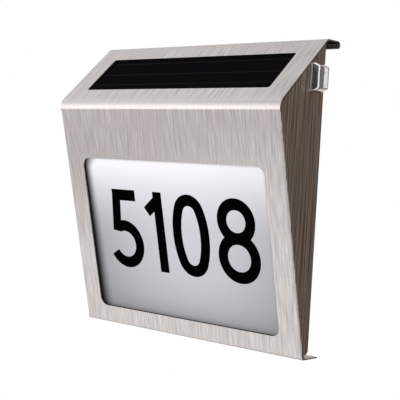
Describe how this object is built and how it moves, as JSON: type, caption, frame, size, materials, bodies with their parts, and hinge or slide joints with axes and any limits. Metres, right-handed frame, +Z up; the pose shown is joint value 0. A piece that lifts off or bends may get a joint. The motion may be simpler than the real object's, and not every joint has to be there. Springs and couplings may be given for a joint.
{
  "type": "solar house number light",
  "caption": "Wall light of folded brushed steel: solar panel in its sloping top, lit number board in its leaning front, rocker switch under a clear cap, hung on a wall bracket.",
  "frame": {"origin": "middle of the bracket's four screw holes, on the wall's face", "axes": "+Y into the wall, +Z up, +X to the right as seen from the front"},
  "size_m": [0.1956, 0.058, 0.1969],
  "materials": {
    "brushed_steel": "satin, brushed up and down",
    "opal_acrylic": "translucent",
    "black_foam": "matt",
    "solar_glass": "smooth black cells behind glass",
    "white_plastic": "moulded, matt",
    "zinc_plate": "zinc plated",
    "circuit_laminate": "solder resist",
    "clear_epoxy": "clear",
    "black_plastic": "moulded, satin",
    "can_sleeve": "shrunk sleeve",
    "cell_sleeve": "shrunk sleeve",
    "clear_plastic": "clear, polished",
    "bracket_steel": "galvanised",
    "lead_sleeve": "satin"
  },
  "bodies": {
    "housing": {"steel_housing": "brushed_steel", "number_board": "opal_acrylic", "board_gasket": "black_foam", "solar_panel": "solar_glass", "solar_gasket": "black_foam", "lamp_tray": "white_plastic", "tray_studs": "zinc_plate", "tray_nuts": "zinc_plate", "circuit_board": "circuit_laminate", "circuit_screws": "zinc_plate", "led_lamps": "clear_epoxy", "driver_chip": "black_plastic", "boost_inductor": "black_plastic", "buffer_capacitor": "can_sleeve", "battery_cell": "cell_sleeve", "battery_contact_negative": "zinc_plate", "battery_contact_positive": "zinc_plate", "switch_body": "black_plastic", "switch_terminals": "zinc_plate", "switch_rain_cap": "clear_plastic", "rear_cover": "white_plastic", "rear_cover_screws": "zinc_plate", "wall_bracket": "bracket_steel", "bottom_screws": "zinc_plate", "solar_leads": "lead_sleeve", "switch_leads": "lead_sleeve", "cell_leads": "lead_sleeve"},
    "rocker": {"switch_rocker": "black_plastic"}
  },
  "joints": [
    {"name": "switch_rock", "type": "hinge", "parent": "housing", "child": "rocker", "pos_m": [0.0938, -0.02345, 0.07315], "axis": [0, -1, 0], "range_deg": [0, 24]}
  ]
}
